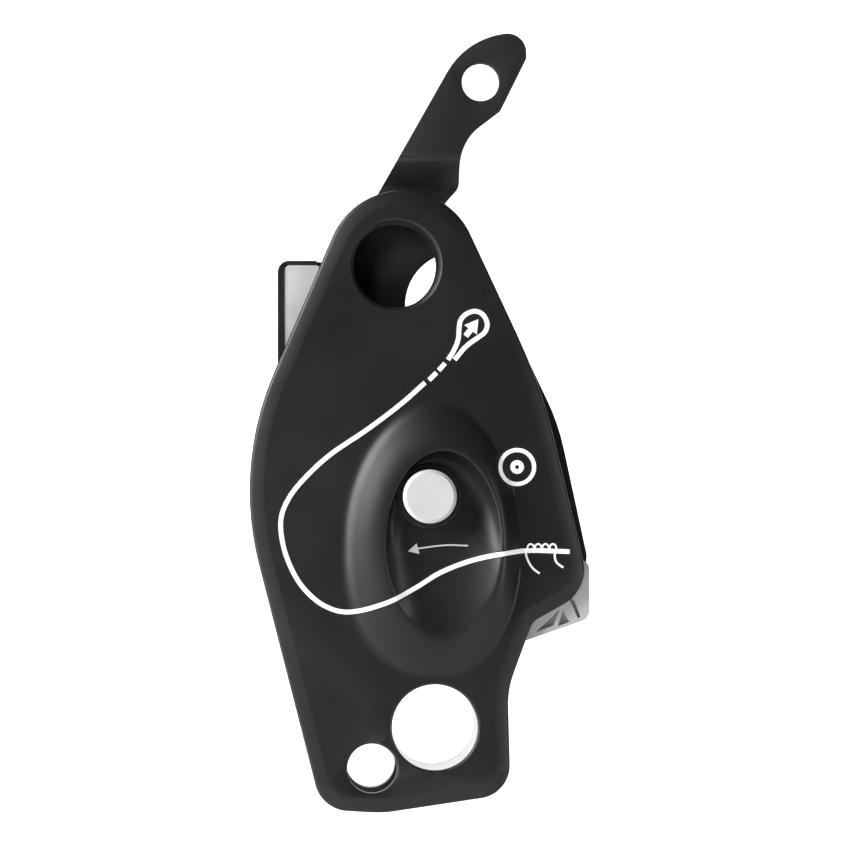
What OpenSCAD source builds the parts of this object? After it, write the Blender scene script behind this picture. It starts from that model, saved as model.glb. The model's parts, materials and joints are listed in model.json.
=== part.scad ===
// Self-braking rope descender, upright, seen from the front along +Y.
// X is to the right, Z is up, and the origin is the centre of the karabiner eye
// on the mid-plane of the rope channel. Millimetres.

/* [Plates] */
// Gap between the side plates, which the rope runs in
gap = 14; // [13:0.5:15]
// Thickness of the swinging front plate
front_t = 3; // [2.8:0.1:3.4]
// Thickness of the fixed back plate
back_t = 4; // [3.6:0.1:4.4]
// How far the dome over the cam stands out from the front plate
dome_h = 5; // [4:0.5:6]

/* [Eyes] */
// Radius of the karabiner eye
eye_r = 11.6; // [11:0.1:11.8]
// Radius of the small eye beside it
small_eye_r = 6.7; // [6:0.1:6.8]
// Radius of the hole at the top of the plates
top_hole_r = 11.5; // [10:0.5:12]
// Radius of the cord hole in the lever
lever_hole_r = 5.1; // [4.5:0.1:5.5]

/* [Mechanism] */
// Radius of the cam that the rope wraps
cam_r = 20; // [19:0.5:20.5]
// How far the cam's nose reaches from its axis
nose_reach = 27; // [25:0.5:28]
// Radius of the release button
button_r = 7.2; // [6.8:0.1:7.4]
// Travel of the release button
button_travel = 2; // [1:0.5:2]
// Full swing of the lever, in degrees
lever_swing = 70; // [60:5:75]
// Share of the lever's swing that the cam makes
cam_ratio = 0.4; // [0.3:0.05:0.5]
// Thickness of the lever
lever_t = 3; // [2.6:0.2:3.2]
// How far forward the lever's grip is cranked
crank = 8; // [6:0.5:8]

/* [Hidden] */
$fn = 64;

BLACK = [0.11, 0.115, 0.11];
STEEL = [0.66, 0.67, 0.67];
DARK_STEEL = [0.42, 0.43, 0.44];
BRONZE = [0.66, 0.5, 0.3];

// Clearances
run = 0.05;          // radial running clearance of every fit
side = 0.2;          // play between a moving piece and the wall beside it
arc_step = 4;        // degrees per step of a rounded corner
through = 1;         // how far a hole's cutter runs past a face

// Places along Y
front_in = -gap / 2;
front_out = front_in - front_t;
dome_out = front_out - dome_h;
back_in = gap / 2;
back_out = back_in + back_t;
cam_front = front_in + 2;
cam_back = back_in - 0.5;
lever_in = back_out + 0.5;
lever_out = lever_in + lever_t;

// Places in the plane of the plates, [x, z]
eye = [0, 0];
axis = [-1.6, 62.6];
small_eye = [-17, -11.1];
top_hole = [-10.5, 125];
lever_hole = [13, 175.2];
post = [8, 112];

// Main axle
axle_r = 5;          // inside the cam bush
tail_r = 4.5;        // through the back plate and the lever sleeve
sleeve_r = 6;
head_r = 9;
head_front = front_in + 0.4;
head_back = cam_front - side;
catch_half = 4.2;    // half the width of the catch slot in the axle's head
catch_floor = head_front + 1;

// Cam
nose_angle = 200;
nose_r = 7;
spring_recess_r = 9.7;
groove_from = 60;    // degrees from the nose to each end of the rope groove
ROPE_GROOVE = [[-1.6, -1], [3, -4], [3, 4], [-1.6, 1]];

// Eye tube
tube_wall = 0.9;
tube_r = eye_r + tube_wall;
shoulder_r = norm(small_eye) - small_eye_r - side;
tube_seat = 2.5;     // how deep the tube sits in the back plate
lip = 0.8;           // black lip of the front plate over the tube's end
ring_t = 0.8;
ring_back = front_in - 1.5;
ring_front = ring_back - ring_t;
ring_half = 0.35;    // half the radial width of the snap ring

// Drive pin and the curved slots it moves in
pin_r = 2.5;
pin_at = 12;
pin_angle = 20;
slot_half = pin_r + 0.4;
slot_end = 16;       // degrees of slot past the pin's centre at each end

// Button, its bush in the front plate and its clip
stem_r = 2.4;
cup_r = 5;
button_edge = 0.8;   // chamfer round the button's face
button_front = dome_out - 1.8;
cup_roof = button_front + 2;
button_back = front_out - 1.8;
stem_tip = catch_floor - side;
bush_r = 8.6;
bush_front = front_out - 1.2;
bush_floor = button_back + button_travel + side;
bush_back = front_out + 1.4;
stem_hole_r = 4.4;
clip_r = 3.7;
clip_front = bush_back + side;
clip_back = clip_front + 0.6;
spring_r = 3.75;
spring_wire = 0.35;

// Spacer post. Its nib runs in a groove in the back of the front plate, and stops it when it is closed
post_r = 5;
screw_r = 2.5;
screw_grip = 8;      // length of screw inside the post
screw_head_r = 4.6;
nib_r = 1.5;
nib_reach = 1.2;
nib_play = 0.4;
NIB_GROOVE = [[0, 1.9], [16, -0.3], [16, -4.1], [0, -1.9]];

// Rope shoe, and the friction guide with its V groove and the pockets in its front
shoe_front = stem_tip + 0.5;
guide_front = front_in + 0.5;
SHOE_RIVETS = [[-37, 114], [-37.6, 92], [-37.8, 68]];
rivet_r = 1.8;
rivet_head_r = 3.2;
rivet_grip = 6;
GUIDE_SCREWS = [[21, 31], [33, 36]];
guide_screw_r = 2;
guide_head_r = 3.8;
guide_grip = 8;
V_GROOVE = [[3.2, 0], [-4, -5.5], [-4, 5.5]];
POCKETS = [
    [[27.6, 25.6], [33.8, 31.6], [32.4, 27.4]],
    [[33.6, 27.2], [34.8, 31.4], [36.8, 28.3]],
    [[34.8, 37], [35.8, 37], [38.2, 33.6], [39.7, 29.6], [39, 29.2], [37.3, 33]]
];
pocket_depth = 2.5;

// Ear of the back plate round the shoe, open where the shoe's face shows
ear_front = front_in + 1.4;
EAR_INSIDE = [[-40.8, 90], [-40.8, 125.2], [-25, 125.2], [-25, 90]];
EAR_NOTCH = [[-31.8, 120], [-31.8, 130], [-25, 130], [-25, 120]];

// Parts on the axle behind the lever
sleeve_back = lever_out + 0.8;
washer_back = sleeve_back + 1;
nut_back = washer_back + 3.4;
washer_r = 9.5;
nut_r = 7.5;
cam_bush_r = 6.5;
lever_bush_r = 7.5;
bush_flange_r = 8.8;
bush_flange_t = 0.4;

// Lever stop pins
stop_pin_at = 34;    // distance of both pins from the axle
stop_pin_r = 2.6;
stop_foot_r = 2;

// Return spring round the cam's bush, in a recess in the cam's back
cam_spring_r = 7.9;
cam_wire = 0.6;
recess_depth = 3.6;

// Rounded outlines: [x, z, corner radius] at each corner
PLATE = [
    [-9.6, 174.5, 20.4], [-54.3, 70.6, 80], [-30.6, -22.3, 9.5], [-14, -23.3, 30], [20.6, -18.2, 9],
    [19.8, 10, 25], [26.5, 28.4, 5], [42.2, 37.2, 11], [28.8, 92.5, 150]
];
// The back plate reaches further right, as far as the friction guide
BACK = [
    [-9.6, 174.5, 20.4], [-54.3, 70.6, 80], [-30.6, -22.3, 9.5], [-14, -23.3, 30], [20.6, -18.2, 9],
    [19.8, 10, 25], [24.6, 24.4, 3], [41.7, 32.4, 2], [42.4, 46, 1.5], [34.6, 82, 60], [27.4, 97, 100]
];
EAR = [
    [-42.4, 97, 1], [-42.4, 126.2, 3], [-30, 126.2, 1], [-30, 97, 1]
];
SHOE = [
    [-31, 125, 1], [-40.6, 125, 1.5], [-40.6, 99, 2], [-41.8, 92, 4], [-42, 48, 3], [-33.2, 44, 4],
    [-33.2, 113, 4], [-31, 117, 3]
];
GUIDE = [
    [42.1, 45, 2.5], [42.1, 29.2, 3], [24.8, 23.2, 2], [14.6, 24.6, 2.5], [22.6, 45, 6]
];
LEVER = [
    [8.8, 186.7, 21], [-26.1, 125.2, 14], [-15.4, 70, 6], [11.6, 70, 6], [3.6, 99, 6], [3.6, 128, 6],
    [2, 140.6, 8], [7.4, 146.6, 3.5], [7.4, 159, 14], [18.4, 167.3, 2.5], [25.6, 181.8, 3],
    [25.4, 189.5, 5.2]
];
CRANK_Z = [147, 153.5];
crank_shift = 1.4;   // how much higher the crank's back corner is than its front one
hub_r = 15;
scallop = [7.3, 114.5];
scallop_r = 14.6;

// Rims of the front plate: height of the step along its edge, and chamfers of its holes
step_t = 1.2;
step_w = 2;
eye_chamfer = 0.6;
top_chamfer = 0.9;

// Circles that the dome and the scoop in it are stretched over: [x, z, radius]
DOME_FOOT = [[-0.8, 66, 17], [-0.8, 41, 24]];
DOME_TOP = [[-0.8, 62, 14], [0.8, 44, 18.6]];
SCOOP_RIM = [[-1.6, 61, 12.6], [3.2, 43, 15]];
SCOOP_FLOOR = [[-1.6, 61, 9.8], [3.2, 43, 10]];
disc_t = 0.1;

function unit(v) = v / norm(v);
function turn(d) = d > 180 ? d - 360 : d < -180 ? d + 360 : d;
function polar(r, a) = r * [cos(a), sin(a)];

// The points of corner b, between corners a and c, rounded to its own radius
function corner(a, b, c) =
    let (
        p = [b.x, b.y],
        u = unit([a.x, a.y] - p),
        v = unit([c.x, c.y] - p),
        half = acos(u * v) / 2,
        o = p + unit(u + v) * b.z / sin(half),
        s = p + u * b.z / tan(half) - o,
        e = p + v * b.z / tan(half) - o,
        from = atan2(s.y, s.x),
        sweep = turn(atan2(e.y, e.x) - from),
        n = max(1, ceil(abs(sweep) / arc_step))
    )
    [for (k = [0:n]) o + polar(b.z, from + sweep * k / n)];

function rounded(pts) =
    let (n = len(pts))
    [for (i = [0:n - 1]) each corner(pts[(i + n - 1) % n], pts[i], pts[(i + 1) % n])];

// A flat shape drawn in X and Z, thick from y0 at the front to y1 at the back
module slab(y0, y1) {
    translate([0, y1, 0])
        rotate([90, 0, 0])
            linear_extrude(y1 - y0)
                children();
}

// A round bar along Y
module rod(at, r, y0, y1) {
    translate([at.x, y1, at.y])
        rotate([90, 0, 0])
            cylinder(r = r, h = y1 - y0);
}

// A cone along Y, of radius r0 at its front and r1 at its back
module cone(at, r0, r1, y0, y1) {
    translate([at.x, y1, at.y])
        rotate([90, 0, 0])
            cylinder(r1 = r1, r2 = r0, h = y1 - y0);
}

// A curved slot about the main axle, with square ends
module arc_slot(radius, half, a0, a1, y0, y1) {
    translate([axis.x, y1, axis.y])
        rotate([90, 0, 0])
            rotate([0, 0, a0])
                rotate_extrude(angle = a1 - a0)
                    translate([radius - half, 0])
                        square([2 * half, y1 - y0]);
}

// A coil of round wire along Y, from y0 to y1
module coil(at, r, wire, turns, y0, y1, steps = 16, sides = 8) {
    n = turns * steps;
    rise = y1 - y0 - 2 * wire;
    points = [
        for (i = [0:n], j = [0:sides - 1])
            let (t = 360 * i / steps, w = 360 * j / sides, q = r + wire * cos(w))
            [q * cos(t), q * sin(t), wire + rise * i / n + wire * sin(w)]
    ];
    walls = [
        for (i = [0:n - 1], j = [0:sides - 1])
            let (a = i * sides + j, b = i * sides + (j + 1) % sides)
            [a, b, b + sides, a + sides]
    ];
    ends = [
        [for (j = [sides - 1:-1:0]) j],
        [for (j = [0:sides - 1]) n * sides + j]
    ];
    translate([at.x, y1, at.y])
        rotate([90, 0, 0])
            polyhedron(points, concat(walls, ends));
}

// Thin discs at the given depths, for a hull to stretch over
module discs(circles, depths) {
    for (i = [0:len(circles) - 1])
        rod([circles[i].x, circles[i].y], circles[i].z, depths[i], depths[i] + disc_t);
}

// A hole along Y from the front plate's face or the back plate's, as y says
module hole(at, r, y) {
    rod(at, r, y - through, y + back_t + through);
}

// The angle about the axle of a pin that just clears the lever's edge from corner a to corner b
function stop_angle(a, b, way) =
    let (
        d = unit([b.x - a.x, b.y - a.y]),
        n = [d.y, -d.x],
        reach = n * ([a.x, a.y] - axis) + stop_pin_r + 2 * side
    )
    atan2(n.y, n.x) + way * acos(reach / stop_pin_at);

STOP_PINS = [
    axis + polar(stop_pin_at, stop_angle(LEVER[3], LEVER[4], 1)),
    axis + polar(stop_pin_at, stop_angle(LEVER[1], LEVER[2], -1) + lever_swing)
];

module plate_outline() {
    polygon(rounded(PLATE));
}

// Fixed plate, with an ear at the upper left that is turned forward round the rope shoe
module back_plate() {
    color(BLACK)
        difference() {
            union() {
                slab(back_in, back_out)
                    polygon(rounded(BACK));
                slab(back_in, back_out)
                    polygon(rounded(EAR));
                difference() {
                    slab(ear_front, back_in)
                        polygon(rounded(EAR));
                    slab(front_in, back_in + disc_t)
                        polygon(EAR_INSIDE);
                    slab(front_in, back_in + disc_t)
                        polygon(EAR_NOTCH);
                }
            }
            hole(eye, eye_r, back_in);
            rod(eye, tube_r, back_in - through, back_in + tube_seat);
            hole(small_eye, small_eye_r, back_in);
            hole(top_hole, top_hole_r, back_in);
            hole(axis, tail_r, back_in);
            hole(post, screw_r, back_in);
            arc_slot(pin_at, slot_half, pin_angle - slot_end, pin_angle + lever_swing + slot_end,
                back_in - through, back_out + through);
            for (p = SHOE_RIVETS)
                rivet_hole(p, rivet_r, rivet_head_r);
            for (p = GUIDE_SCREWS)
                rivet_hole(p, guide_screw_r, guide_head_r);
            for (p = STOP_PINS)
                hole(p, stop_foot_r, back_in);
        }
}

// A hole through the back plate with a countersink on its rear face
module rivet_hole(at, r, sunk_r) {
    hole(at, r, back_in);
    cone(at, r, sunk_r, back_out - sunk_r + r, back_out);
}

// A countersunk rivet or screw, flush with the rear face and reaching forward to y0
module sunk_fastener(at, r, sunk_r, y0) {
    rod(at, r, y0, back_out - disc_t);
    cone(at, r, sunk_r, back_out - sunk_r + r, back_out);
}

module eye_tube() {
    color(STEEL)
        difference() {
            union() {
                rod(eye, tube_r, front_out + lip + run, back_in + tube_seat);
                rod(eye, shoulder_r, front_in + run, back_in);
            }
            rod(eye, eye_r, front_out - through, back_out + through);
            difference() {
                rod(eye, shoulder_r, ring_front, ring_back);
                rod(eye, tube_r - ring_half - run, ring_front, ring_back);
            }
        }
}

module eye_snap_ring() {
    color(DARK_STEEL)
        difference() {
            rod(eye, tube_r + ring_half, ring_front + 2 * run, ring_back - 2 * run);
            rod(eye, tube_r - ring_half, ring_front, ring_back);
            slab(ring_front, ring_back)
                polygon([[0, 0], [-6, 20], [6, 20]]);
        }
}

module spacer_post() {
    color(DARK_STEEL)
        difference() {
            union() {
                rod(post, post_r, front_in + side, back_in);
                rod(post, nib_r, front_in - nib_reach, back_in - screw_grip - 2);
            }
            rod(post, screw_r, back_in - screw_grip - side, back_in + through);
        }
}

module spacer_screw() {
    color(DARK_STEEL)
        difference() {
            union() {
                rod(post, screw_r, back_in - screw_grip, back_out + through);
                rod(post, screw_head_r, back_out, back_out + 2.4);
            }
            rod(post, 1.75, back_out + through, back_out + 3, $fn = 6);
        }
}

module rope_shoe() {
    color(STEEL)
        difference() {
            slab(shoe_front, back_in)
                polygon(rounded(SHOE));
            for (p = SHOE_RIVETS)
                rod(p, rivet_r, back_in - rivet_grip, back_in + through);
        }
}

module shoe_rivets() {
    color(DARK_STEEL)
        for (p = SHOE_RIVETS)
            sunk_fastener(p, rivet_r, rivet_head_r, back_in - rivet_grip);
}

// Casting that the braking rope leaves over
module friction_guide() {
    color(STEEL)
        difference() {
            slab(guide_front, back_in)
                polygon(rounded(GUIDE));
            translate([15, 0, 45])
                rotate([0, 90, 0])
                    linear_extrude(30)
                        polygon(V_GROOVE);
            for (outline = POCKETS)
                slab(front_in, guide_front + pocket_depth)
                    polygon(outline);
            for (p = GUIDE_SCREWS)
                rod(p, guide_screw_r, back_in - guide_grip, back_in + through);
        }
}

module guide_screws() {
    color(DARK_STEEL)
        for (p = GUIDE_SCREWS)
            difference() {
                sunk_fastener(p, guide_screw_r, guide_head_r, back_in - guide_grip);
                rod(p, 1.4, back_out - 1.2, back_out + through, $fn = 6);
            }
}

// Fixed axle. Its head has a catch slot, open to the left, for the button's stem
module main_axle() {
    color(DARK_STEEL)
        difference() {
            union() {
                rod(axis, head_r, head_front, head_back);
                rod(axis, axle_r, head_back - disc_t, back_in);
                rod(axis, tail_r, back_in - disc_t, nut_back + 0.6);
            }
            rod(axis, catch_half, head_front - through, catch_floor);
            slab(head_front - through, catch_floor)
                polygon([for (p = [[0, -1], [0, 1], [-12, 1], [-12, -1]]) axis + [p.x, p.y * catch_half]]);
            rod(axis, stem_r + 2 * side, head_front - through, cam_front + 3);
        }
}

module lever_sleeve() {
    color(DARK_STEEL)
        difference() {
            rod(axis, sleeve_r, back_out, sleeve_back);
            rod(axis, tail_r, back_out - through, sleeve_back + through);
        }
}

module axle_washer() {
    color(STEEL)
        difference() {
            rod(axis, washer_r, sleeve_back, washer_back);
            rod(axis, tail_r, sleeve_back - through, washer_back + through);
        }
}

module axle_nut() {
    color(STEEL)
        difference() {
            intersection() {
                rod(axis, nut_r, washer_back, nut_back, $fn = 6);
                cone(axis, nut_r + 2.7, nut_r - 0.7, washer_back, nut_back);
            }
            rod(axis, tail_r, washer_back - through, nut_back + through);
        }
}

// Two pins that stop the lever at each end of its swing
module lever_stop_pins() {
    color(DARK_STEEL)
        for (p = STOP_PINS) {
            rod(p, stop_foot_r, back_in + side, back_out + through);
            rod(p, stop_pin_r, back_out, lever_out - 3 * side);
        }
}

module cam_spring() {
    color(DARK_STEEL)
        coil(axis, cam_spring_r, cam_wire, 2, cam_back - recess_depth + side, back_in - disc_t);
}

// Plate that swings about the karabiner eye to let the rope in
module front_plate() {
    color(BLACK)
        difference() {
            union() {
                slab(front_out + step_t, front_in)
                    plate_outline();
                slab(front_out, front_out + step_t + disc_t)
                    offset(delta = -step_w)
                        plate_outline();
            }
            hole(eye, eye_r, front_out);
            rod(eye, tube_r + run, front_out + lip, front_in + through);
            cone(eye, eye_r + eye_chamfer, eye_r, front_out, front_out + eye_chamfer);
            rod(eye, tube_r + ring_half + 2 * run, ring_front - disc_t, ring_back + disc_t);
            hole(small_eye, small_eye_r, front_out);
            cone(small_eye, small_eye_r + eye_chamfer, small_eye_r, front_out, front_out + eye_chamfer);
            hole(top_hole, top_hole_r, front_out);
            cone(top_hole, top_hole_r + top_chamfer, top_hole_r, front_out, front_out + top_chamfer);
            rod(axis, bush_r, front_out - through, bush_back);
            rod(axis, stem_hole_r, front_out, front_in + through);
            rod(post, nib_r + nib_play, front_in - nib_reach - side, front_in + through);
            slab(front_in - nib_reach - side, front_in + through)
                polygon([for (q = NIB_GROOVE) post + q]);
        }
}

// Dome on the front plate, in one with it, with a scoop for the thumb down to the button
module plate_dome() {
    color(BLACK)
        difference() {
            hull() {
                discs(DOME_FOOT, [front_out - disc_t, front_out - disc_t]);
                discs(DOME_TOP, [dome_out, dome_out]);
            }
            hull() {
                discs(SCOOP_RIM, [dome_out - disc_t, dome_out - disc_t]);
                discs(SCOOP_FLOOR, [front_out, front_out - 1.5]);
            }
            rod(axis, bush_r, dome_out - through, front_out + through);
        }
}

module button_bush() {
    color(BLACK)
        difference() {
            rod(axis, bush_r, bush_front, bush_back);
            rod(axis, button_r + run, bush_front - through, bush_floor);
            rod(axis, stem_r + run, bush_floor - through, bush_back + through);
        }
}

// Round button, hollow behind for its spring, with a stem that locks into the axle's head
module release_button() {
    color([0.88, 0.88, 0.86])
        difference() {
            union() {
                cone(axis, button_r - button_edge, button_r, button_front, button_front + button_edge);
                rod(axis, button_r, button_front + button_edge - disc_t, button_back);
                rod(axis, stem_r, cup_roof - 0.5, stem_tip);
            }
            difference() {
                rod(axis, cup_r, cup_roof, button_back + through);
                rod(axis, stem_r, cup_roof - through, button_back + 2 * through);
            }
            difference() {
                rod(axis, stem_r + through, clip_front - disc_t, clip_back + disc_t);
                rod(axis, stem_r - 0.5, clip_front - through, clip_back + through);
            }
        }
}

module button_spring() {
    color(STEEL)
        coil(axis, spring_r, spring_wire, 4, cup_roof + run, bush_floor - run);
}

module button_clip() {
    color(DARK_STEEL)
        difference() {
            rod(axis, clip_r, clip_front, clip_back);
            rod(axis, stem_r - 0.45, clip_front - through, clip_back + through);
            slab(clip_front - through, clip_back + through)
                polygon([for (q = [[0, 0], [5, -2], [5, 2]]) axis + q]);
        }
}

// A round cam with a smaller round nose, joined by flanks that just cut into the big circle
module cam_outline() {
    nose = axis + polar(nose_reach - nose_r, nose_angle);
    flank = acos((cam_r - nose_r) / (nose_reach - nose_r));
    translate(axis)
        circle(cam_r);
    translate(nose)
        circle(nose_r);
    polygon([
        axis,
        axis + polar(cam_r - disc_t, nose_angle - flank), nose + polar(nose_r - disc_t, nose_angle - flank),
        nose + polar(nose_r - disc_t, nose_angle + flank), axis + polar(cam_r - disc_t, nose_angle + flank)
    ]);
}

// Cam that the rope wraps. Its nose pinches the rope against the shoe when the lever is let go
module cam() {
    color(STEEL)
        difference() {
            slab(cam_front, cam_back)
                cam_outline();
            translate([axis.x, (cam_front + cam_back) / 2, axis.y])
                rotate([90, 0, 0])
                    rotate([0, 0, nose_angle + groove_from])
                        rotate_extrude(angle = 360 - 2 * groove_from)
                            polygon([for (q = ROPE_GROOVE) [cam_r + q.x, q.y]]);
            rod(axis, cam_bush_r, cam_front - through, cam_back + through);
            rod(axis, spring_recess_r, cam_back - recess_depth, cam_back + through);
            arc_slot(pin_at, slot_half, pin_angle - slot_end,
                pin_angle + lever_swing * (1 - cam_ratio) + slot_end, cam_back - 3, cam_back + through);
        }
}

module cam_bush() {
    color(BRONZE)
        difference() {
            rod(axis, cam_bush_r, cam_front, cam_back);
            rod(axis, axle_r + run, cam_front - through, cam_back + through);
        }
}

// Release lever: flat behind the back plate, cranked forward above the plates
module lever_arm() {
    color(BLACK)
        difference() {
            intersection() {
                slab(lever_in - crank - through, lever_out + through)
                    difference() {
                        union() {
                            polygon(rounded(LEVER));
                            translate(axis)
                                circle(hub_r);
                        }
                        translate(scallop)
                            circle(scallop_r);
                    }
                translate([-60, 0, 0])
                    rotate([90, 0, 90])
                        linear_extrude(120)
                            polygon([
                                [lever_in, 30], [lever_in, CRANK_Z[0]], [lever_in - crank, CRANK_Z[1]],
                                [lever_in - crank, 200], [lever_out - crank, 200],
                                [lever_out - crank, CRANK_Z[1] + crank_shift],
                                [lever_out, CRANK_Z[0] + crank_shift], [lever_out, 30]
                            ]);
            }
            rod(axis, lever_bush_r, lever_in - through, lever_out + through);
            rod(axis + polar(pin_at, pin_angle), pin_r, lever_in - through, lever_out + through);
            rod(lever_hole, lever_hole_r, lever_in - crank - through, lever_out + through);
        }
}

module lever_bush() {
    color(BRONZE)
        difference() {
            union() {
                rod(axis, lever_bush_r, lever_in - 0.3, lever_out + bush_flange_t);
                rod(axis, bush_flange_r, lever_out, lever_out + bush_flange_t);
            }
            rod(axis, sleeve_r + run, lever_in - through, lever_out + through);
        }
}

module drive_pin() {
    color(STEEL)
        rod(axis + polar(pin_at, pin_angle), pin_r, cam_back - 2.6, lever_out);
}

back_plate();
eye_tube();
eye_snap_ring();
spacer_post();
spacer_screw();
rope_shoe();
shoe_rivets();
friction_guide();
guide_screws();
main_axle();
lever_sleeve();
axle_washer();
axle_nut();
lever_stop_pins();
cam_spring();
front_plate();
plate_dome();
button_bush();
release_button();
button_spring();
button_clip();
cam();
cam_bush();
lever_arm();
lever_bush();
drive_pin();
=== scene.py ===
# %% [markdown]
# # A self-braking rope descender
# The device hangs from its karabiner eye, with its front towards -Y and its lever up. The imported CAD
# model is loaded first and stays where it is. It gives the places of the eyes, the axle and the plates.
# What is seen most is then modelled again in finer detail, and everything else keeps its CAD shape with
# softened edges. Every finish is made from nodes.

# %% Load the frame
import json
import math

import bmesh
import bpy
from mathutils import Matrix, Vector
from mathutils.bvhtree import BVHTree


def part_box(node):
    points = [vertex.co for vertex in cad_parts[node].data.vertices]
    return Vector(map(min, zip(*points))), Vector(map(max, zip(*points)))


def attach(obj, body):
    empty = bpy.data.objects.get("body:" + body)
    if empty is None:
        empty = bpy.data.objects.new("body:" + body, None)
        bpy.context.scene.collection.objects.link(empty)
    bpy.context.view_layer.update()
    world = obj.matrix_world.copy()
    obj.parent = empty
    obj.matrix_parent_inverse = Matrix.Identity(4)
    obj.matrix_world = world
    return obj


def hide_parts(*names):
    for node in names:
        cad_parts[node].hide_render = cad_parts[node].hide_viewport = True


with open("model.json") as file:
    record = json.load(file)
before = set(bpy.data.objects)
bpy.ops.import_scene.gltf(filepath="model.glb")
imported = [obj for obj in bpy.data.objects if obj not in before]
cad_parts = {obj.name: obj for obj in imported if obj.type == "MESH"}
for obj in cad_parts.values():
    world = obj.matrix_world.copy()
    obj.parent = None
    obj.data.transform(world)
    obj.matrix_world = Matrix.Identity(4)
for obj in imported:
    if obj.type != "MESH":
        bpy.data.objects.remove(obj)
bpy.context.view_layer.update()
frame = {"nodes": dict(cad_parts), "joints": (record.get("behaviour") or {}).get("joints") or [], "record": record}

MM = 0.001

# %% [markdown]
# ## Places
# A place is a point in the plane of the plates, [x, z] in millimetres. The mounts in the record give the
# holes, the lever's joint gives the main axle, and the boxes of the plates give their faces along Y.

# %% Places and faces
mounts = {m["name"]: m for m in frame["record"]["mounts"]}
joints = {j["name"]: j for j in frame["joints"]}


def place(p):
    """A point of the record, in metres, as [x, z] in millimetres."""
    return (p[0] / MM, p[2] / MM)


def span_y(node):
    """The front and back faces of a CAD node along Y, in millimetres."""
    low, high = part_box(node)
    return low.y / MM, high.y / MM


def hole(name):
    """The centre and radius of a mount, in millimetres."""
    return place(mounts[name]["pos_m"]), mounts[name]["dims"]["r_mm"]


EYE, EYE_R = hole("karabiner_eye")
SMALL_EYE, SMALL_EYE_R = hole("small_eye")
TOP_HOLE, TOP_HOLE_R = hole("top_hole")
AXLE = place(joints["lever_pull"]["pos_m"])
PLATE_FRONT, PLATE_BACK = span_y("front_plate")
DOME_FRONT = span_y("plate_dome")[0]
DOME_H = PLATE_FRONT - DOME_FRONT
BUSH_BACK = span_y("button_bush")[1]
print("plate face", PLATE_FRONT, "dome", DOME_H, "axle", AXLE)

# %% [markdown]
# ## Outlines
# An outline is a loop of corners, each with the radius that rounds it. Two straight edges and an arc that
# touches both are all that a milled or stamped plate has, so the arc is found from the corner's angle.


# %% Rounded outlines
def rounded(corners, step=3.0):
    """Points round a loop of (x, z, radius) corners, with an arc point every few degrees."""
    points = []
    for i, (x, z, radius) in enumerate(corners):
        here = Vector((x, z))
        before = Vector(corners[i - 1][:2])
        after = Vector(corners[(i + 1) % len(corners)][:2])
        u = (before - here).normalized()
        v = (after - here).normalized()
        half = u.angle(v) / 2
        centre = here + (u + v).normalized() * radius / math.sin(half)
        start = here + u * radius / math.tan(half) - centre
        end = here + v * radius / math.tan(half) - centre
        sweep = start.angle_signed(end)
        n = max(2, math.ceil(abs(math.degrees(sweep)) / step))
        for k in range(n + 1):
            points.append(centre + Matrix.Rotation(-sweep * k / n, 2) @ start)
    return points


PLATE = [
    (-9.6, 174.5, 20.4), (-54.3, 70.6, 80), (-30.6, -22.3, 9.5), (-14, -23.3, 30), (20.6, -18.2, 9),
    (19.8, 10, 25), (26.5, 28.4, 5), (42.2, 37.2, 11), (28.8, 92.5, 150),
]
print("plate outline points:", len(rounded(PLATE)))


# %% [markdown]
# ## Mesh helpers
# A piece is drawn in millimetres in a bmesh, then scaled to metres once, so that its object sits at the
# origin. Faces within a few degrees of each other are shaded smooth, and real edges stay crisp.


# %% From a bmesh to a riding piece
def piece(name, bm, body, material, sharp=32):
    """Turns a bmesh in millimetres into an object that rides on a body."""
    bmesh.ops.recalc_face_normals(bm, faces=bm.faces)
    bmesh.ops.scale(bm, vec=(MM, MM, MM), verts=bm.verts)
    mesh = bpy.data.meshes.new(name)
    bm.to_mesh(mesh)
    bm.free()
    mesh.shade_smooth()
    mesh.set_sharp_from_angle(angle=math.radians(sharp))
    obj = bpy.data.objects.new(name, mesh)
    bpy.context.scene.collection.objects.link(obj)
    mesh.materials.append(material)
    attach(obj, body)
    print(name, len(mesh.vertices), "points")
    return obj


def face_of(bm, points, y):
    """One flat face at y from points [x, z]."""
    return bm.faces.new([bm.verts.new((p[0], y, p[1])) for p in points])


def spin_profile(bm, centre, profile, steps=96):
    """Turns a profile of (radius, y) points about an axle along Y at centre."""
    verts = [bm.verts.new((centre[0] + r, y, centre[1])) for r, y in profile]
    edges = [bm.edges.new(pair) for pair in zip(verts, verts[1:])]
    bmesh.ops.spin(
        bm, geom=verts + edges, cent=(centre[0], 0, centre[1]), axis=(0, 1, 0),
        angle=math.tau, steps=steps, use_merge=True,
    )


def open_edges(bm, y, tol=0.001):
    """The edges with one face or none that lie wholly in the plane at y."""
    return [
        e for e in bm.edges
        if len(e.link_faces) < 2 and all(abs(v.co.y - y) < tol for v in e.verts)
    ]


def smoothstep(t):
    """Eases from 0 to 1 and stays there beyond both ends."""
    t = max(0.0, min(1.0, t))
    return t * t * (3 - 2 * t)


# %% [markdown]
# ## Shared effects
# Real finishes are never even. Two effects are used by most of the metals here, so each is a node group:
# **grain**, a fine blasted or cast surface with slow cloudy change, and **edges**, a mask that is bright
# where an edge has been rubbed. The edge mask compares the true normal with one that is rounded over a
# small radius, so that it works on any mesh.


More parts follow.
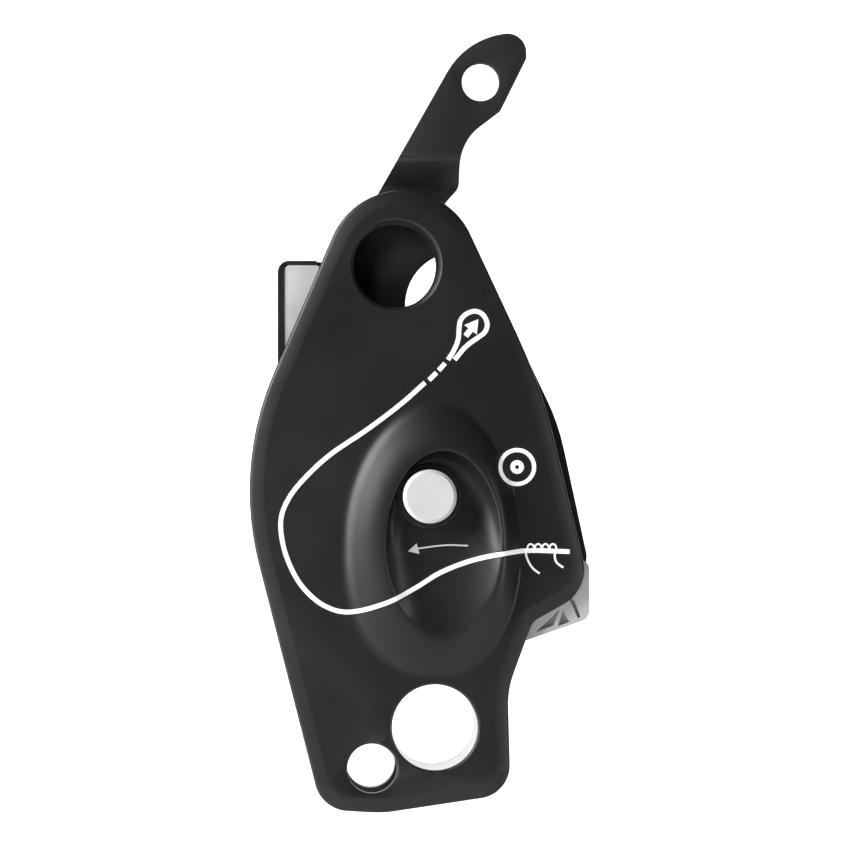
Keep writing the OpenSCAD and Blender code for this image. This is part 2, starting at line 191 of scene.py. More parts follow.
# %% Node helpers
def group(name, inputs, outputs):
    """A shader node group with named sockets, its nodes and its two ends."""
    tree = bpy.data.node_groups.new(name, "ShaderNodeTree")
    for label, kind, value in inputs:
        socket = tree.interface.new_socket(name=label, in_out="INPUT", socket_type=kind)
        socket.default_value = value
    for label, kind in outputs:
        tree.interface.new_socket(name=label, in_out="OUTPUT", socket_type=kind)
    return tree, tree.nodes.new("NodeGroupInput"), tree.nodes.new("NodeGroupOutput")


def add(tree, kind, links=(), **values):
    """A node with its values set and its inputs linked. Digits in a key pick an input by number."""
    node = tree.nodes.new(kind)
    for key, value in values.items():
        if key.startswith("in_"):
            label = key[3:].replace("_", " ")
            node.inputs[int(label) if label.isdigit() else label].default_value = value
        else:
            setattr(node, key, value)
    for source, target in links:
        tree.links.new(source, node.inputs[target])
    return node


def remap(tree, source, from_low, from_high, to_low=0.0, to_high=1.0):
    """Maps a value from one range onto another, without going past the ends."""
    node = add(tree, "ShaderNodeMapRange", [(source, "Value")])
    node.inputs["From Min"].default_value = from_low
    node.inputs["From Max"].default_value = from_high
    node.inputs["To Min"].default_value = to_low
    node.inputs["To Max"].default_value = to_high
    return node.outputs[0]


# %% The grain group
FLOAT = "NodeSocketFloat"
grain, g_in, g_out = group(
    "surface_grain",
    [("Fine scale", FLOAT, 2600.0), ("Cloud scale", FLOAT, 45.0), ("Stretch", "NodeSocketVector", (1, 1, 1))],
    [("Height", FLOAT), ("Cloud", FLOAT)],
)
g_pos = add(grain, "ShaderNodeTexCoord")
g_map = add(grain, "ShaderNodeVectorMath", operation="MULTIPLY")
grain.links.new(g_pos.outputs["Object"], g_map.inputs[0])
grain.links.new(g_in.outputs["Stretch"], g_map.inputs[1])
g_fine = add(
    grain, "ShaderNodeTexNoise",
    [(g_map.outputs[0], "Vector"), (g_in.outputs["Fine scale"], "Scale")], in_Detail=3.0, in_Roughness=0.6)
g_cloud = add(
    grain, "ShaderNodeTexNoise",
    [(g_pos.outputs["Object"], "Vector"), (g_in.outputs["Cloud scale"], "Scale")],
    in_Detail=5.0, in_Roughness=0.55)
grain.links.new(g_fine.outputs["Fac"], g_out.inputs["Height"])
grain.links.new(g_cloud.outputs["Fac"], g_out.inputs["Cloud"])

# %% The edge wear group
edges, e_in, e_out = group(
    "edge_wear",
    [("Width", FLOAT, 0.0005), ("Amount", FLOAT, 0.6), ("Breakup", FLOAT, 260.0)],
    [("Mask", FLOAT)],
)
e_round = add(edges, "ShaderNodeBevel", [(e_in.outputs["Width"], "Radius")], samples=6)
e_geo = add(edges, "ShaderNodeNewGeometry")
e_dot = add(edges, "ShaderNodeVectorMath", [(e_round.outputs[0], 0), (e_geo.outputs["Normal"], 1)],
            operation="DOT_PRODUCT")
e_rim = remap(edges, e_dot.outputs["Value"], 0.995, 0.90)
e_pos = add(edges, "ShaderNodeTexCoord")
e_noise = add(
    edges, "ShaderNodeTexNoise",
    [(e_pos.outputs["Object"], "Vector"), (e_in.outputs["Breakup"], "Scale")],
    in_Detail=4.0, in_Roughness=0.7)
e_broken = remap(edges, e_noise.outputs["Fac"], 0.42, 0.62)
e_mix = add(edges, "ShaderNodeMath", [(e_rim, 0), (e_broken, 1)], operation="MULTIPLY")
e_amount = add(
    edges, "ShaderNodeMath", [(e_mix.outputs[0], 0), (e_in.outputs["Amount"], 1)], operation="MULTIPLY")
edges.links.new(e_amount.outputs[0], e_out.inputs["Mask"])
print("groups:", [g.name for g in bpy.data.node_groups])


# %% [markdown]
# ## Finishes
# Each finish is one Principled shader. Its two colours are mixed by the cloud, the rubbed edges show a
# third, and the grain drives a very shallow bump. Only the values differ from metal to metal.


# %% A metal finish
def finish(name, dark, light, worn, rough, metallic, bump=0.25, depth=0.02, wear=0.5, fine=2600.0,
           cloud=45.0, stretch=(1, 1, 1), specular=0.5):
    """A finish with cloudy colour, rubbed edges and a grain. rough is its lowest and highest roughness."""
    material = bpy.data.materials.new(name)
    material.use_nodes = True
    tree = material.node_tree
    shader = tree.nodes["Principled BSDF"]
    shader.inputs["Specular IOR Level"].default_value = specular
    shader.inputs["Metallic"].default_value = metallic
    texture = add(tree, "ShaderNodeGroup", node_tree=grain)
    texture.inputs["Fine scale"].default_value = fine
    texture.inputs["Cloud scale"].default_value = cloud
    texture.inputs["Stretch"].default_value = stretch
    rubbed = add(tree, "ShaderNodeGroup", node_tree=edges)
    rubbed.inputs["Amount"].default_value = wear
    base = add(tree, "ShaderNodeMix", [(texture.outputs["Cloud"], "Factor")], data_type="RGBA")
    base.inputs["A"].default_value = (*dark, 1)
    base.inputs["B"].default_value = (*light, 1)
    colour = add(tree, "ShaderNodeMix", [(rubbed.outputs["Mask"], "Factor")], data_type="RGBA")
    tree.links.new(base.outputs["Result"], colour.inputs["A"])
    colour.inputs["B"].default_value = (*worn, 1)
    tree.links.new(colour.outputs["Result"], shader.inputs["Base Color"])
    spread = remap(tree, texture.outputs["Cloud"], 0.3, 0.7, rough[0], rough[1])
    tree.links.new(spread, shader.inputs["Roughness"])
    relief = add(tree, "ShaderNodeBump", [(texture.outputs["Height"], "Height")], in_Strength=bump)
    relief.inputs["Distance"].default_value = depth * MM
    tree.links.new(relief.outputs["Normal"], shader.inputs["Normal"])
    return material


def glow(material, strength):
    """Paints light into a bright ink: it glows a little, though it is no lamp, so that it stays bright where the
    dome shades it.
    """
    shader = material.node_tree.nodes["Principled BSDF"]
    shader.inputs["Emission Color"].default_value = (1, 1, 1, 1)
    shader.inputs["Emission Strength"].default_value = strength


def grey(v, warm=0.0):
    """A grey, made a little warmer or, below zero, colder."""
    return (v * (1 + warm), v, v * (1 - warm))


plate_black = finish("plate_black", grey(0.009, -0.03), grey(0.015, -0.03), grey(0.16), (0.33, 0.42), 0.0,
                     bump=0.3, depth=0.02, wear=0.35, fine=3200.0, specular=0.4)
lever_black = finish("lever_black", grey(0.010, 0.02), grey(0.016, 0.02), grey(0.2), (0.40, 0.50), 0.0,
                     bump=0.4, depth=0.03, wear=0.5, fine=2400.0)
cast_steel = finish("cast_steel", grey(0.56), grey(0.76), grey(0.85), (0.38, 0.52), 0.35,
                    bump=0.5, depth=0.08, wear=0.6, fine=1400.0, cloud=90.0)
tube_steel = finish("tube_steel", grey(0.34), grey(0.46), grey(0.6), (0.28, 0.38), 1.0,
                    bump=0.25, depth=0.02, wear=0.3, stretch=(1, 9, 1))
turned_steel = finish("turned_steel", grey(0.33), grey(0.48), grey(0.7), (0.26, 0.38), 1.0,
                      bump=0.3, depth=0.02, wear=0.5, stretch=(1, 8, 1))
spring_wire = finish("spring_wire", grey(0.38), grey(0.5), grey(0.7), (0.2, 0.3), 1.0, wear=0.2)
button_silver = finish("button_silver", grey(0.62, 0.01), grey(0.72, 0.01), grey(0.86), (0.36, 0.46), 0.15,
                       bump=0.4, depth=0.03, wear=0.3, fine=3600.0, cloud=120.0)
bronze = finish("sintered_bronze", (0.40, 0.24, 0.10), (0.55, 0.36, 0.17), (0.8, 0.6, 0.35), (0.35, 0.5), 1.0,
                bump=0.5, depth=0.05, fine=1800.0)
white_ink_painted_glow = finish("white_ink_painted_glow", grey(0.80), grey(0.90), grey(0.6), (0.45, 0.6), 0.0, bump=0.2, wear=0.2)
grey_ink_painted_glow = finish("grey_ink_painted_glow", grey(0.42), grey(0.55), grey(0.4), (0.45, 0.6), 0.0, bump=0.2, wear=0.2)
black_ink = finish("black_ink", grey(0.004), grey(0.006), grey(0.02), (0.5, 0.6), 0.0, bump=0.2, wear=0.1)
# Painted light: both inks glow faintly, so that the print stays bright in the dome's shade.
glow(white_ink_painted_glow, 0.3)
glow(grey_ink_painted_glow, 0.1)
print("finishes:", len(bpy.data.materials))

# %% [markdown]
# ## The front plate
# The real plate is forged: a flat sheet with a chamfered rim, and an egg-shaped dome over the cam. A
# spoon-shaped scoop is sunk into the dome, so that a thumb slides down it onto the button. It could be
# sculpted, or carved with booleans, but both blur the rim of the scoop. So the dome is a ring of rows that
# run from its foot up to the rim and down to the button, and the flat sheet is filled between that ring,
# the rim and the holes.

# %% The dome's curves
FOOT = dict(centre=(0.0, 48), left=26.0, right=23.6, up=41.0, down=35.5, power_up=2.0, power_down=2.2)
RIM = dict(centre=(2.2, 49.5), left=15.7, right=15.7, up=25.4, down=24.6, power_up=2.0, power_down=2.0)
BUSH_SEAT_R = 8.6
BUSH_RING = dict(centre=AXLE, left=BUSH_SEAT_R, right=BUSH_SEAT_R, up=BUSH_SEAT_R, down=BUSH_SEAT_R,
                 power_up=2.0, power_down=2.0)
SCOOP_FLOOR = 0.2       # height of the scoop's floor over the plate's face, at the button
LOW_RIM = 0.34          # share of the dome's height at the low end of the scoop
DOME_ROWS = 14
SCOOP_ROWS = 16
AROUND = 160
SEAM_TURN = 0.01        # radians that the dome's grid is turned against the spun holes
CREST_ANGLE = 24        # degrees; above the plate's face, only the scoop's rim is as sharp as this
CREST_BEVEL = 0.6


def egg(shape, angle):
    """A point of an egg-shaped curve at an angle from its own centre."""
    c, s = math.cos(angle), math.sin(angle)
    power = 2 / (shape["power_up"] if s > 0 else shape["power_down"])
    x = math.copysign(abs(c) ** power, c) * (shape["right"] if c > 0 else shape["left"])
    z = math.copysign(abs(s) ** power, s) * (shape["up"] if s > 0 else shape["down"])
    return Vector((shape["centre"][0] + x, shape["centre"][1] + z))


def rim_height(angle):
    """Height of the scoop's rim: full at the top and sides, lower where a thumb slides in."""
    low = max(0.0, -math.sin(angle)) ** 2.4
    return DOME_H * (1 - (1 - LOW_RIM) * low)


def dome_point(angle, row):
    """Row 0 is the dome's foot, row 1 the scoop's rim and row 2 the button's bush."""
    if row <= 1:
        across = egg(FOOT, angle).lerp(egg(RIM, angle), row)
        climb = 0.45 * smoothstep(row) + 0.55 * (1 - (1 - row) ** 1.6) * smoothstep(row * 3.5)
        return across, rim_height(angle) * climb
    inward = row - 1
    across = egg(RIM, angle).lerp(egg(BUSH_RING, angle), inward)
    steep = 1.5 + 2.1 * smoothstep(0.5 + math.sin(angle))      # steepest above the button
    dip = (1 - inward) ** steep
    return across, SCOOP_FLOOR + (rim_height(angle) - SCOOP_FLOOR) * dip


# %% The dome and scoop
bm = bmesh.new()
rows = DOME_ROWS + SCOOP_ROWS
bmesh.ops.create_grid(bm, x_segments=AROUND, y_segments=rows, size=0.5)
for v in bm.verts:
    angle = math.tau * (v.co.x + 0.5) + SEAM_TURN
    step = (v.co.y + 0.5) * rows
    row = step / DOME_ROWS if step < DOME_ROWS else 1 + (step - DOME_ROWS) / SCOOP_ROWS
    across, height = dome_point(angle, row)
    v.co = (across.x, PLATE_FRONT - height, across.y)
bmesh.ops.remove_doubles(bm, verts=bm.verts, dist=0.001)
crest = [
    e for e in bm.edges
    if e.is_manifold and e.calc_face_angle(0) > math.radians(CREST_ANGLE)
    and e.verts[0].co.y < PLATE_FRONT - 1
]
bmesh.ops.bevel(bm, geom=crest, offset=CREST_BEVEL, segments=3, profile=0.5, affect="EDGES", material=-1,
                clamp_overlap=True)
print("dome faces:", len(bm.faces), "crest edges:", len(crest))

# %% The rim and the flat sheet
# How far each ring of the rim lies in from the one before, and how far forward
RIM_STEPS = [(0.12, 0.40), (0.25, 0.30), (0.38, 0.16), (3.0, 0.95), (0.3, 0.04)]
WALL_FRONT = PLATE_FRONT + sum(rise for _, rise in RIM_STEPS)

back_face = face_of(bm, rounded(PLATE), PLATE_BACK)
grown = bmesh.ops.extrude_face_region(bm, geom=[back_face])
top = [f for f in grown["geom"] if isinstance(f, bmesh.types.BMFace)][0]
bmesh.ops.translate(bm, vec=(0, WALL_FRONT - PLATE_BACK, 0), verts=top.verts)
for inward, forward in RIM_STEPS:
    bmesh.ops.inset_region(bm, faces=[top], thickness=inward, use_even_offset=True)
    bmesh.ops.translate(bm, vec=(0, -forward, 0), verts=top.verts)
for v in top.verts:
    v.co.y = PLATE_FRONT
bmesh.ops.delete(bm, geom=[top, back_face], context="FACES_ONLY")

# %% The holes
CHAMFER = 0.6
STEM_HOLE_R = 4.4
TUBE_SEAT_R = EYE_R + 0.95
TUBE_SEAT_Y = PLATE_FRONT + 0.8
spin_profile(bm, EYE, [
    (EYE_R + CHAMFER, PLATE_FRONT), (EYE_R + 0.15, PLATE_FRONT + 0.25), (EYE_R, PLATE_FRONT + CHAMFER),
    (EYE_R, TUBE_SEAT_Y), (TUBE_SEAT_R, TUBE_SEAT_Y), (TUBE_SEAT_R, PLATE_BACK)])
spin_profile(bm, SMALL_EYE, [
    (SMALL_EYE_R + CHAMFER, PLATE_FRONT), (SMALL_EYE_R + 0.15, PLATE_FRONT + 0.25),
    (SMALL_EYE_R, PLATE_FRONT + CHAMFER), (SMALL_EYE_R, PLATE_BACK)])
spin_profile(bm, TOP_HOLE, [
    (TOP_HOLE_R + 1.0, PLATE_FRONT), (TOP_HOLE_R + 0.9, PLATE_FRONT + 0.08),
    (TOP_HOLE_R + 0.1, PLATE_FRONT + 0.8), (TOP_HOLE_R, PLATE_FRONT + 1.0), (TOP_HOLE_R, PLATE_BACK)])
spin_profile(bm, AXLE, [
    (BUSH_SEAT_R, PLATE_FRONT - SCOOP_FLOOR), (BUSH_SEAT_R, BUSH_BACK), (STEM_HOLE_R, BUSH_BACK),
    (STEM_HOLE_R, PLATE_BACK)], steps=AROUND)
bmesh.ops.remove_doubles(bm, verts=bm.verts, dist=0.0005)
for y in (PLATE_FRONT, PLATE_BACK):
    bmesh.ops.triangle_fill(bm, edges=open_edges(bm, y), use_beauty=True, use_dissolve=False)
# The dome's last ring is turned against the wall of the bush's seat by SEAM_TURN, so the two don't weld.
# Their edges stay open and are counted here.
print("open edges left:", sum(len(e.link_faces) != 2 for e in bm.edges))

# %% [markdown]
# The lower left corner is forged a little thinner. A shallow ramp runs down to it from the dome and ends in
# a slanting crease. The sheet is cut along a few lines beside the crease, and the points there move back by
# a share of their height, so the rear face stays flat. The rim of the eye is left as it is.

# %% The thinner corner at the lower left
CREASE_FROM, CREASE_TO = Vector((-37.8, 19.7)), Vector((-11.9, -3.0))
RAMP_WIDTH, RAMP_DEPTH, RAMP_CUTS = 13.0, 0.7, 8
KEEP_R, KEEP_FADE = 13.2, 6.0           # what stays as it is round the eye
along = (CREASE_TO - CREASE_FROM).normalized()
down = Vector((along.y, -along.x))
for k in range(RAMP_CUTS + 1):
    on_line = CREASE_FROM - down * RAMP_WIDTH * k / RAMP_CUTS
    bmesh.ops.bisect_plane(bm, geom=bm.verts[:] + bm.edges[:] + bm.faces[:], dist=0.0001,
                           plane_co=(on_line.x, 0, on_line.y), plane_no=(down.x, 0, down.y))
for v in bm.verts:
    flat = Vector((v.co.x, v.co.z))
    past = 1 + (flat - CREASE_FROM).dot(down) / RAMP_WIDTH
    share = min(1.0, (PLATE_BACK - v.co.y) / (PLATE_BACK - PLATE_FRONT))
    free = smoothstep(((flat - Vector(EYE)).length - KEEP_R) / KEEP_FADE)
    v.co.y += RAMP_DEPTH * max(0.0, min(1.0, past)) ** 2 * share * free

front_plate = piece("front_cover_plate", bm, "front_cover", plate_black, sharp=28)
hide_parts("front_plate", "plate_dome")

# %% [markdown]
# ## The lever
# The lever is a thick strip with one double bend. The CAD model bends it sharply, and a press can't do that.
# A bevel on the four bend lines would fold over the small corners of the outline beside them. So the strip
# is cut across in narrow bands, and each point moves from the straight ramp onto an eased one. Then the cut
# edges are broken with a small radius.


# %% The lever's eased bends and broken edges
EASE_CUTS = 18
BEND_EASE = 2.0         # how far the bend starts before the sharp one
LEVER_EDGE = 0.45


def is_bend(e):
    """Whether an edge is a bend line along X."""
    return (e.is_manifold and math.radians(20) < e.calc_face_angle(0) < math.radians(75)
            and abs((e.verts[1].co - e.verts[0].co).normalized().x) > 0.99)


def ease_crank(bm, node):
    """Eases the double bend of a strip whose grip, higher up, stands in front of its hub."""
    bends = [e for e in bm.edges if is_bend(e)]
    front_low, back_low, front_high, back_high = sorted(e.verts[0].co.z for e in bends)
    low, high = front_low - BEND_EASE, back_high + BEND_EASE
    for k in range(EASE_CUTS + 1):
        bmesh.ops.bisect_plane(bm, geom=bm.verts[:] + bm.edges[:] + bm.faces[:], dist=0.0001,
                               plane_co=(0, 0, low + (high - low) * k / EASE_CUTS), plane_no=(0, 0, 1))
    grip_front, hub_back = span_y(node)
    thick = max(e.verts[0].co.y for e in bends if e.verts[0].co.z > front_high) - grip_front
    crank = hub_back - thick - grip_front
    ramps = ((front_low, front_high), (back_low, back_high))
    for v in bm.verts:
        straight = [min(1.0, max(0.0, (v.co.z - start) / (end - start))) for start, end in ramps]
        eased = [smoothstep((v.co.z - start + BEND_EASE) / (end - start + 2 * BEND_EASE))
                 for start, end in ramps]
        front, back = hub_back - thick - crank * straight[0], hub_back - crank * straight[1]
        share = (v.co.y - front) / (back - front)
        front, back = hub_back - thick - crank * eased[0], hub_back - crank * eased[1]
        v.co.y = front + share * (back - front)
    print("bend lines:", len(bends), "crank:", round(crank, 2))


bm = bmesh.new()
bm.from_mesh(frame["nodes"]["lever_arm"].data)
bmesh.ops.scale(bm, vec=(1 / MM, 1 / MM, 1 / MM), verts=bm.verts)
bmesh.ops.remove_doubles(bm, verts=bm.verts, dist=0.002)
bmesh.ops.dissolve_limit(bm, angle_limit=math.radians(0.5), verts=bm.verts, edges=bm.edges)
ease_crank(bm, "lever_arm")
cuts = [e for e in bm.edges if e.is_manifold and e.calc_face_angle(0) > math.radians(50)]
bmesh.ops.bevel(bm, geom=cuts, offset=LEVER_EDGE, segments=3, profile=0.5, affect="EDGES", material=-1,
                clamp_overlap=True)
lever = piece("release_lever", bm, "lever", lever_black)
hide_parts("lever_arm")

# %% [markdown]
# ## The print
# The threading diagram is screen printed in white, with a thin dark line round it. A texture would need an
# image or a long formula, so each stroke is a very thin ribbon instead: a grid bent along a smooth path
# and dropped onto the plate with rays, so that it follows the dome and the scoop.

# %% Ribbons on the plate
skin = BVHTree.FromPolygons([v.co for v in front_plate.data.vertices],
                            [f.vertices for f in front_plate.data.polygons])
INK_T = 0.08


def smooth_path(points, closed, step=0.4):
    """A smooth curve through points [x, z], as closely spaced points."""
    p = [Vector(q) for q in points]
    n = len(p)
    path = []
    for i in range(n if closed else n - 1):
        a, b = p[i], p[(i + 1) % n]
        before = p[i - 1] if i or closed else a + (a - b)
        after = p[(i + 2) % n] if closed or i + 2 < n else b + (b - a)
        parts = max(2, round((b - a).length / step))
        for k in range(parts):
            t = k / parts
            path.append(0.5 * (2 * a + (b - before) * t + (2 * before - 5 * a + 4 * b - after) * t * t
                               + (3 * a - before - 3 * b + after) * t ** 3))
    path.append(path[0] if closed else p[-1])
    return path


def ribbon(bm, points, width, lift, closed=False, end_width=None, grow=0.0):
    """One printed stroke. Its top is lift above the plate, and grow widens it all round."""
    path = smooth_path(points, closed)
    if not closed:
        path[0] = path[0] + (path[0] - path[1]).normalized() * grow
        path[-1] = path[-1] + (path[-1] - path[-2]).normalized() * grow
    last = len(path) - 1
    end_width = width if end_width is None else end_width
    grid = bmesh.ops.create_grid(bm, x_segments=last, y_segments=4, size=0.5)["verts"]
    for v in grid:
        u = v.co.x + 0.5
        i = round(u * last)
        if closed:
            ahead = path[(i + 1) % last] - path[(i - 1) % last]
        else:
            ahead = path[min(i + 1, last)] - path[max(i - 1, 0)]
        side = Vector((-ahead.y, ahead.x)).normalized()
        p = path[i] + side * 2 * v.co.y * (width + (end_width - width) * u + 2 * grow) / 2
        hit = skin.ray_cast(Vector((p.x, DOME_FRONT * 2, p.y)) * MM, Vector((0, 1, 0)))[0]
        v.co = (p.x, hit.y / MM - lift, p.y)
    return grid


def print_piece(name, strokes, material, lift, grow=0.0):
    """All the strokes in one ink, thickened towards the plate."""
    bm = bmesh.new()
    for stroke in strokes:
        ribbon(bm, lift=lift, grow=grow, **stroke)
    deep = bmesh.ops.extrude_face_region(bm, geom=bm.faces[:])["geom"]
    bmesh.ops.translate(bm, vec=(0, INK_T, 0), verts=[v for v in deep if isinstance(v, bmesh.types.BMVert)])
    piece(name, bm, "front_cover", material)


# %% The strokes of the threading diagram
LINE_W = 1.25
# The rope, from its load end round the cam to the hand
ROPE = [
    (-2.7, 93.2), (-9.5, 87.2), (-18.4, 80.5), (-28.4, 73.7), (-35.6, 67.0), (-39.7, 61.6), (-41.6, 56.2),
    (-41.0, 49.4), (-38.6, 42.7), (-35.1, 37.3), (-29.7, 32.9), (-23.0, 31.3), (-13.5, 33.8), (-5.4, 37.8),
    (1.4, 41.9), (9.5, 45.1), (17.6, 47.0), (25.7, 47.8), (36.5, 47.5),
]
# The anchor's loop round the arrow
LOOP = [
    (3.5, 99.4), (4.7, 101.2), (5.9, 103.7), (6.4, 105.8), (6.5, 107.8), (6.9, 110.0), (8.4, 111.7),
    (10.8, 112.5), (13.0, 111.5), (14.1, 109.1), (13.5, 106.9), (11.5, 105.3), (9.5, 103.9), (7.8, 102.4),
    (6.4, 100.7), (5.3, 99.4),
]
DASHES = [[(2.7, 98.4), (1.0, 96.5)], [(0.4, 95.9), (-1.6, 93.9)]]
MARK_AT, MARK_R, DOT_SHARE = Vector((22.2, 70.4)), 4.6, 0.26      # a plain ring with a dot
ring = [MARK_AT + MARK_R * Vector((math.cos(a), math.sin(a))) for a in (math.tau * k / 24 for k in range(24))]

strokes = [dict(points=ROPE, width=LINE_W), dict(points=LOOP, width=LINE_W)]
strokes += [dict(points=d, width=LINE_W) for d in DASHES]
strokes += [
    dict(points=[(8.3, 105.8), (10.0, 107.9)], width=1.5),
    dict(points=[(9.6, 107.5), (11.7, 110.3)], width=4.2, end_width=0.05),
    dict(points=ring, width=1.1, closed=True),
    dict(points=[MARK_AT + (p - MARK_AT) * DOT_SHARE for p in ring], width=1.3, closed=True),
]
hand = [
    dict(points=[(24.9, 48.4), (24.6, 46.9), (25.3, 44.8), (26.6, 42.9), (28.3, 41.6)], width=0.55),
    dict(points=[(32.8, 48.4), (32.4, 46.4), (32.9, 44.6), (34.7, 43.2)], width=0.55),
]
FINGERS, FINGER_W, FIRST_FINGER = 4, 2.0, 24.9
for k in range(FINGERS):
    left = FIRST_FINGER + FINGER_W * k
    hand.append(dict(points=[(left, 47.7), (left + 0.25, 49.1), (left + 1.0, 49.6), (left + 1.75, 49.1),
                             (left + FINGER_W, 47.7)], width=0.5))
arrow = [
    dict(points=[(8.9, 49.2), (2.7, 49.3), (-4.8, 48.4)], width=0.4),
    dict(points=[(-4.6, 48.4), (-7.3, 47.7)], width=3.0, end_width=0.05),
]
INK_TOP, OUTLINE_TOP = 0.09, 0.06       # over the plate, in millimetres
print_piece("print_outline", strokes, black_ink, lift=OUTLINE_TOP, grow=0.5)
print_piece("print_diagram", strokes + hand, white_ink_painted_glow, lift=INK_TOP)
print_piece("print_press_arrow", arrow, grey_ink_painted_glow, lift=INK_TOP)

# %% [markdown]
# ## Camera
# The camera stands a long way off, almost square to the plates and a little to the left, with a long lens,
# so that the inner wall of the eye just shows.

# %% Camera
SHOWN = 229.5 * MM                      # width of the view at the plate's face
AIM = Vector((-2.7, PLATE_FRONT, 81.9)) * MM
DISTANCE = 1.15
AZIMUTH, ELEVATION = math.radians(-2.2), math.radians(0.6)
away = Vector((math.sin(AZIMUTH) * math.cos(ELEVATION), -math.cos(AZIMUTH) * math.cos(ELEVATION),
               math.sin(ELEVATION)))
camera_data = bpy.data.cameras.new("camera")
camera = bpy.data.objects.new("camera", camera_data)
bpy.context.scene.collection.objects.link(camera)
camera.location = AIM + away * DISTANCE
camera.rotation_euler = (-away).to_track_quat("-Z", "Y").to_euler()
camera_data.sensor_width = 36
camera_data.lens = camera_data.sensor_width * DISTANCE / SHOWN
bpy.context.scene.camera = camera


# %% [markdown]
# ## Light
# A black finish shows only what it mirrors, so few and low lights draw its slopes best. One large soft panel
# at the upper left lights the left slope of the dome and the right wall of the scoop. A lower one helps it,
# a weak one fills the front and one on the right lights the scoop's left wall. The world is nearly dark for
# the object and pale for the camera, so that the views from behind stay clear.


# %% Lights and world
def panel(name, place, aim, size, power):
    """A soft rectangular light."""
    data = bpy.data.lights.new(name, "AREA")
    data.shape = "RECTANGLE"
    data.size, data.size_y = size
    data.energy = power
    light = bpy.data.objects.new(name, data)
    light.location = place
    light.rotation_euler = (Vector(aim) - Vector(place)).to_track_quat("-Z", "Y").to_euler()
    bpy.context.scene.collection.objects.link(light)


panel("key_left", (-1.05, -0.55, 0.72), (0, 0, 0.08), (0.5, 0.9), 26)
panel("low_left", (-1.2, -0.45, 0.05), (0, 0, 0.06), (0.35, 0.9), 9)
panel("soft_front", (-0.45, -1.3, 0.85), (0, 0, 0.08), (0.5, 0.4), 0.45)
panel("fill_right", (0.95, -0.72, 0.02), (0, 0, 0.05), (0.25, 0.6), 3.2)

world = bpy.data.worlds.new("studio")
world.use_nodes = True
world.node_tree.nodes["Background"].inputs["Color"].default_value = (1, 1, 1, 1)
WORLD_LIGHT, WORLD_SEEN = 0.018, 0.75
seen = add(world.node_tree, "ShaderNodeLightPath")
strength = remap(world.node_tree, seen.outputs["Is Camera Ray"], 0.0, 1.0, WORLD_LIGHT, WORLD_SEEN)
world.node_tree.links.new(strength, world.node_tree.nodes["Background"].inputs["Strength"])
bpy.context.scene.world = world
bpy.context.scene.view_settings.view_transform = "Standard"

# %% [markdown]
# ## Backdrop
# The backdrop is one sheet, a floor that curves up into a wall. The wall glows, so that it is white behind
# the object. The glow fades towards the camera, because light from below would flatten the black plate. It
# could be a plain lit wall, but that needs lamps which the plate would mirror.

# %% The paper
GLOW_FROM, GLOW_TO = 0.5, 1.5           # metres along Y
paper = bpy.data.materials.new("pale_backdrop")
paper.use_nodes = True
paper_shader = paper.node_tree.nodes["Principled BSDF"]
paper_shader.inputs["Base Color"].default_value = (*grey(0.93), 1)
paper_shader.inputs["Roughness"].default_value = 0.9
paper_shader.inputs["Emission Color"].default_value = (1, 1, 1, 1)
paper_place = add(paper.node_tree, "ShaderNodeTexCoord")
paper_y = add(paper.node_tree, "ShaderNodeSeparateXYZ", [(paper_place.outputs["Object"], 0)])
fade = remap(paper.node_tree, paper_y.outputs["Y"], GLOW_FROM, GLOW_TO, 0.02, 0.9)
paper.node_tree.links.new(fade, paper_shader.inputs["Emission Strength"])

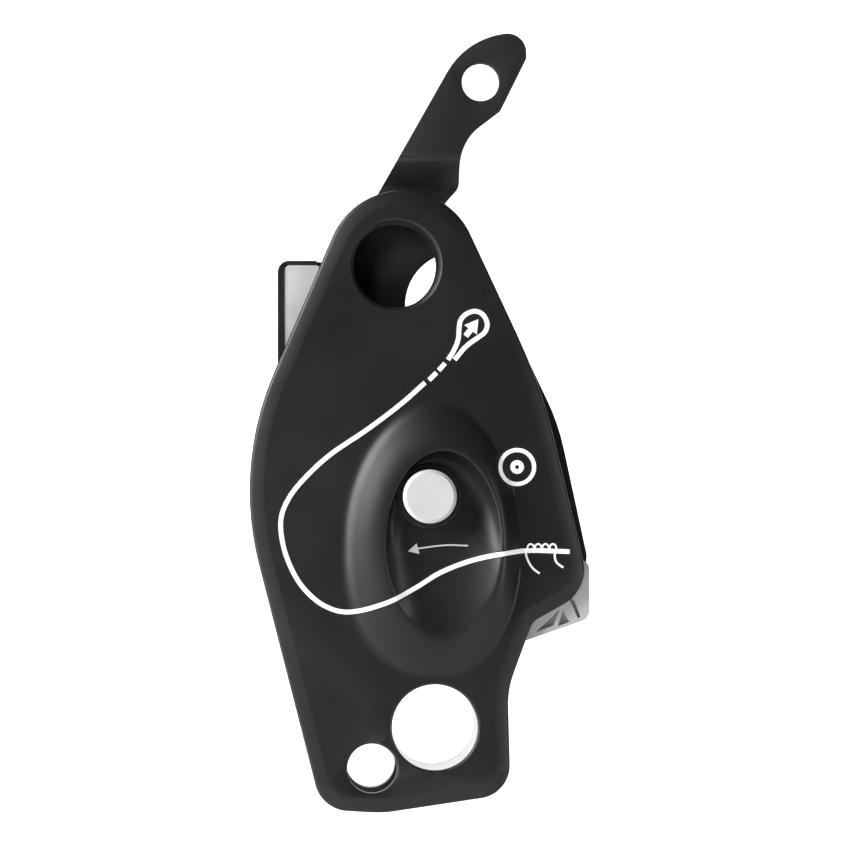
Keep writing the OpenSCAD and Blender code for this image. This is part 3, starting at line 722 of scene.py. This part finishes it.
# %% The curved sheet
SWEEP_R, FLOOR_Z, WALL_Y, WALL_TOP = 0.3, -0.25, 1.5, 2.4
HALF_W, SWEEP_STEPS = 1.6, 12
profile = [Vector((0, -HALF_W, FLOOR_Z)), Vector((0, WALL_Y - SWEEP_R, FLOOR_Z))]
for k in range(1, SWEEP_STEPS + 1):
    turn = math.radians(90 * k / SWEEP_STEPS)
    back, up = SWEEP_R * (1 - math.sin(turn)), SWEEP_R * (1 - math.cos(turn))
    profile.append(Vector((0, WALL_Y - back, FLOOR_Z + up)))
profile.append(Vector((0, WALL_Y, WALL_TOP)))
sheet = bmesh.new()
line = [sheet.verts.new(p + Vector((-HALF_W, 0, 0))) for p in profile]
strip = [sheet.edges.new(pair) for pair in zip(line, line[1:])]
wide = bmesh.ops.extrude_edge_only(sheet, edges=strip)
far = [g for g in wide["geom"] if isinstance(g, bmesh.types.BMVert)]
bmesh.ops.translate(sheet, vec=(2 * HALF_W, 0, 0), verts=far)
bmesh.ops.recalc_face_normals(sheet, faces=sheet.faces)
sheet_mesh = bpy.data.meshes.new("backdrop")
sheet.to_mesh(sheet_mesh)
sheet.free()
sheet_mesh.shade_smooth()
sheet_mesh.materials.append(paper)
backdrop = bpy.data.objects.new("backdrop", sheet_mesh)
bpy.context.scene.collection.objects.link(backdrop)

# %% [markdown]
# ## The other CAD pieces
# The rest keep their CAD meshes. Their triangles are welded and joined into flat faces, and then a small
# bevel breaks every sharp edge, so that it catches the light as a machined one does. A spring has no sharp
# edges and keeps only its finish.

# %% Finishes and soft edges
FINISHES = {
    "back_plate": plate_black, "button_bush": plate_black, "eye_tube": tube_steel, "rope_shoe": cast_steel,
    "friction_guide": cast_steel, "cam": cast_steel, "cam_bush": bronze, "lever_bush": bronze,
    "release_button": button_silver, "lever_arm": lever_black, "cam_spring": spring_wire,
    "button_spring": spring_wire, "eye_snap_ring": spring_wire, "button_clip": spring_wire,
}
EDGE = {"back_plate": 0.5, "lever_arm": 0.55, "rope_shoe": 0.6, "friction_guide": 0.6, "release_button": 0.3}
SMALL_EDGE = 0.15       # millimetres, like EDGE
for name, node in frame["nodes"].items():
    node.data.materials.clear()
    node.data.materials.append(FINISHES.get(name, turned_steel))
    if name.endswith("spring"):
        continue
    weld = node.modifiers.new("weld", "WELD")
    weld.merge_threshold = 0.002 * MM
    flat = node.modifiers.new("join_flats", "DECIMATE")
    flat.decimate_type = "DISSOLVE"
    flat.angle_limit = math.radians(0.5)
    soft = node.modifiers.new("soft_edges", "BEVEL")
    soft.width = EDGE.get(name, SMALL_EDGE) * MM
    soft.segments = 3
    soft.limit_method = "ANGLE"
    soft.angle_limit = math.radians(32)
    node.data.shade_smooth()
    even = node.modifiers.new("even_shading", "WEIGHTED_NORMAL")
    even.keep_sharp = True
print("CAD pieces finished:", len(frame["nodes"]))
